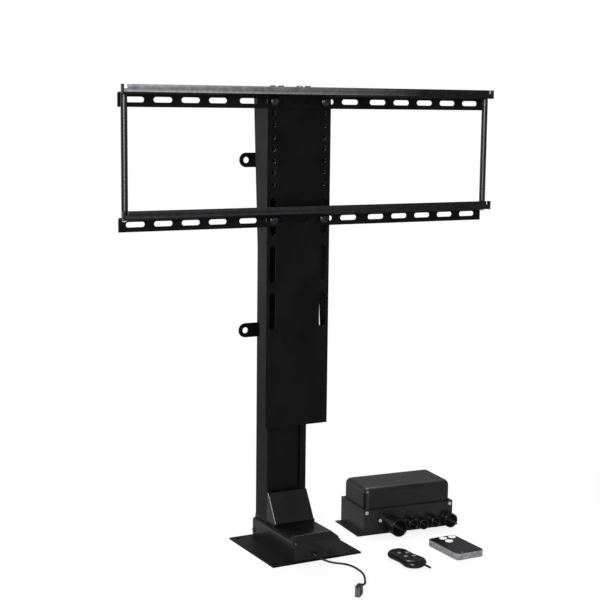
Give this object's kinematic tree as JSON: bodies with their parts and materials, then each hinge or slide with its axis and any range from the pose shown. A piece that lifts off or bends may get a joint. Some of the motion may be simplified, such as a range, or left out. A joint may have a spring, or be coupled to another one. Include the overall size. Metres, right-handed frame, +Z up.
{
  "type": "television lift mechanism",
  "caption": "Two-stage motorised column lift on a square base plate, with slotted screen rails, a separate control unit and hand-held transmitters.",
  "frame": {"origin": "middle of the base plate's underside", "axes": "+Z up along the column, -Y to the front where the screen hangs, +X to the right seen from the front"},
  "size_m": [0.731, 0.3761, 0.8315],
  "materials": {
    "black_powder_coat": "black powder coat",
    "satin_black_paint": "satin black paint",
    "zinc_plate": "bright zinc plate",
    "black_acetal": "black acetal",
    "bronze": "machined bronze",
    "black_plastic": "moulded black plastic",
    "pale_button_plastic": "moulded pale plastic",
    "circuit_board": "green solder mask",
    "transformer_iron": "varnished iron",
    "black_rubber": "black rubber"
  },
  "bodies": {
    "base": {"base_plate": "black_powder_coat", "motor_housing": "satin_black_paint", "housing_lid": "satin_black_paint", "column_shroud": "satin_black_paint", "housing_screws": "satin_black_paint", "cable_gland": "black_plastic", "motor_lead": "black_rubber", "lead_plug": "black_plastic", "gear_motor": "zinc_plate", "gearbox": "satin_black_paint", "screw_bearing": "zinc_plate", "fixed_column": "black_powder_coat", "upper_wall_strap": "black_powder_coat", "lower_wall_strap": "black_powder_coat", "column_guides": "black_acetal", "belt_anchors": "zinc_plate", "limit_switches": "black_plastic", "inner_lead": "black_rubber"},
    "mast": {"inner_mast": "black_powder_coat", "mast_front_plate": "satin_black_paint", "mast_foot_guides": "black_acetal", "lift_nut": "bronze", "lift_belts": "black_rubber"},
    "carriage": {"carriage_frame": "black_powder_coat", "carriage_spine": "satin_black_paint", "guide_shoes": "black_acetal", "belt_clamps": "zinc_plate", "top_cap": "black_powder_coat", "cap_bolts": "zinc_plate", "upper_rail": "black_powder_coat", "lower_rail": "black_powder_coat", "left_tie_rod": "satin_black_paint", "right_tie_rod": "satin_black_paint", "rod_screws": "zinc_plate", "rail_end_caps": "black_plastic", "rail_screws": "zinc_plate", "rail_nuts": "zinc_plate"},
    "drive_screw": {"lead_screw": "zinc_plate"},
    "upper_pulley_pair": {"upper_pulleys": "zinc_plate"},
    "lower_pulley_pair": {"lower_pulleys": "zinc_plate"},
    "control_unit": {"control_tray": "satin_black_paint", "control_lid": "black_plastic", "control_screws": "zinc_plate", "control_board": "circuit_board", "transformer": "transformer_iron", "control_sockets": "black_plastic"},
    "key_fob": {"fob_base": "black_plastic", "fob_top": "black_plastic", "fob_board": "circuit_board", "fob_aerial": "black_rubber"},
    "handset": {"hand_base": "black_plastic", "hand_top": "black_plastic", "hand_board": "circuit_board"},
    "fob_button_left": {"fob_button_left": "pale_button_plastic"},
    "fob_button_back": {"fob_button_back": "pale_button_plastic"},
    "fob_button_right": {"fob_button_right": "pale_button_plastic"},
    "fob_button_front": {"fob_button_front": "pale_button_plastic"},
    "hand_button_left": {"hand_button_left": "pale_button_plastic"},
    "hand_button_right": {"hand_button_right": "pale_button_plastic"},
    "hand_button_front": {"hand_button_front": "pale_button_plastic"}
  },
  "joints": [
    {"name": "mast_lift", "type": "slide", "parent": "base", "child": "mast", "axis": [0, 0, 1], "range_m": [0, 0.38]},
    {"name": "carriage_lift", "type": "slide", "parent": "mast", "child": "carriage", "axis": [0, 0, 1], "range_m": [0, 0.38]},
    {"name": "screw_turn", "type": "hinge", "parent": "base", "child": "drive_screw", "pos_m": [0, 0.059, 0.05], "axis": [0, 0, 1], "continuous": true},
    {"name": "upper_pulley_turn", "type": "hinge", "parent": "mast", "child": "upper_pulley_pair", "pos_m": [0, 0.0643, 0.7555], "axis": [1, 0, 0], "continuous": true},
    {"name": "lower_pulley_turn", "type": "hinge", "parent": "mast", "child": "lower_pulley_pair", "pos_m": [0, 0.0643, 0.0715], "axis": [1, 0, 0], "continuous": true},
    {"name": "control_unit_lift_off", "type": "slide", "parent": "base", "child": "control_unit", "axis": [0, 0, 1], "range_m": [0, 0.3]},
    {"name": "key_fob_lift_off", "type": "slide", "parent": "base", "child": "key_fob", "axis": [0, 0, 1], "range_m": [0, 0.3]},
    {"name": "handset_lift_off", "type": "slide", "parent": "base", "child": "handset", "axis": [0, 0, 1], "range_m": [0, 0.3]},
    {"name": "fob_button_left_press", "type": "slide", "parent": "key_fob", "child": "fob_button_left", "axis": [0, 0, -1], "range_m": [0, 0.0008], "stiffness_N_per_m": 900},
    {"name": "fob_button_back_press", "type": "slide", "parent": "key_fob", "child": "fob_button_back", "axis": [0, 0, -1], "range_m": [0, 0.0008], "stiffness_N_per_m": 900},
    {"name": "fob_button_right_press", "type": "slide", "parent": "key_fob", "child": "fob_button_right", "axis": [0, 0, -1], "range_m": [0, 0.0008], "stiffness_N_per_m": 900},
    {"name": "fob_button_front_press", "type": "slide", "parent": "key_fob", "child": "fob_button_front", "axis": [0, 0, -1], "range_m": [0, 0.0008], "stiffness_N_per_m": 900},
    {"name": "hand_button_left_press", "type": "slide", "parent": "handset", "child": "hand_button_left", "axis": [0, 0, -1], "range_m": [0, 0.0008], "stiffness_N_per_m": 900},
    {"name": "hand_button_right_press", "type": "slide", "parent": "handset", "child": "hand_button_right", "axis": [0, 0, -1], "range_m": [0, 0.0008], "stiffness_N_per_m": 900},
    {"name": "hand_button_front_press", "type": "slide", "parent": "handset", "child": "hand_button_front", "axis": [0, 0, -1], "range_m": [0, 0.0008], "stiffness_N_per_m": 900}
  ],
  "couplings": [
    {"joint": "carriage_lift", "follows": "mast_lift", "ratio": 1},
    {"joint": "screw_turn", "follows": "mast_lift", "rad_per_m": 523.6},
    {"joint": "upper_pulley_turn", "follows": "mast_lift", "rad_per_m": -126.58},
    {"joint": "lower_pulley_turn", "follows": "mast_lift", "rad_per_m": -126.58}
  ]
}
